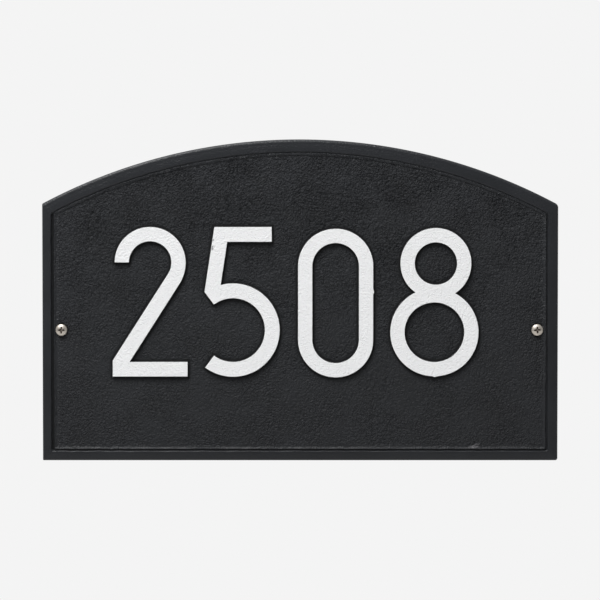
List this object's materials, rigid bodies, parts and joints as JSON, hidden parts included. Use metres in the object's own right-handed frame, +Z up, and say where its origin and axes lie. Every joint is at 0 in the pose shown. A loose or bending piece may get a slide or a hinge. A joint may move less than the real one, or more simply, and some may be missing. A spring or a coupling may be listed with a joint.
{
  "type": "house number plaque",
  "caption": "Arched cast plaque with a raised border, raised white numerals on a black pebbled field, and two pan head screws that hold it to a wall.",
  "frame": {"origin": "on the wall plane, midway between the two screws' axes", "axes": "+X to the right along the plaque as read, +Y into the wall, +Z up"},
  "size_m": [0.4062, 0.0351, 0.253],
  "materials": {
    "black_coating": "satin",
    "white_numerals": "matte",
    "screw_steel": "satin"
  },
  "bodies": {
    "root": {"plaque_casting": "black_coating", "mounting_screw_left": "screw_steel", "mounting_screw_right": "screw_steel"}
  },
  "joints": []
}
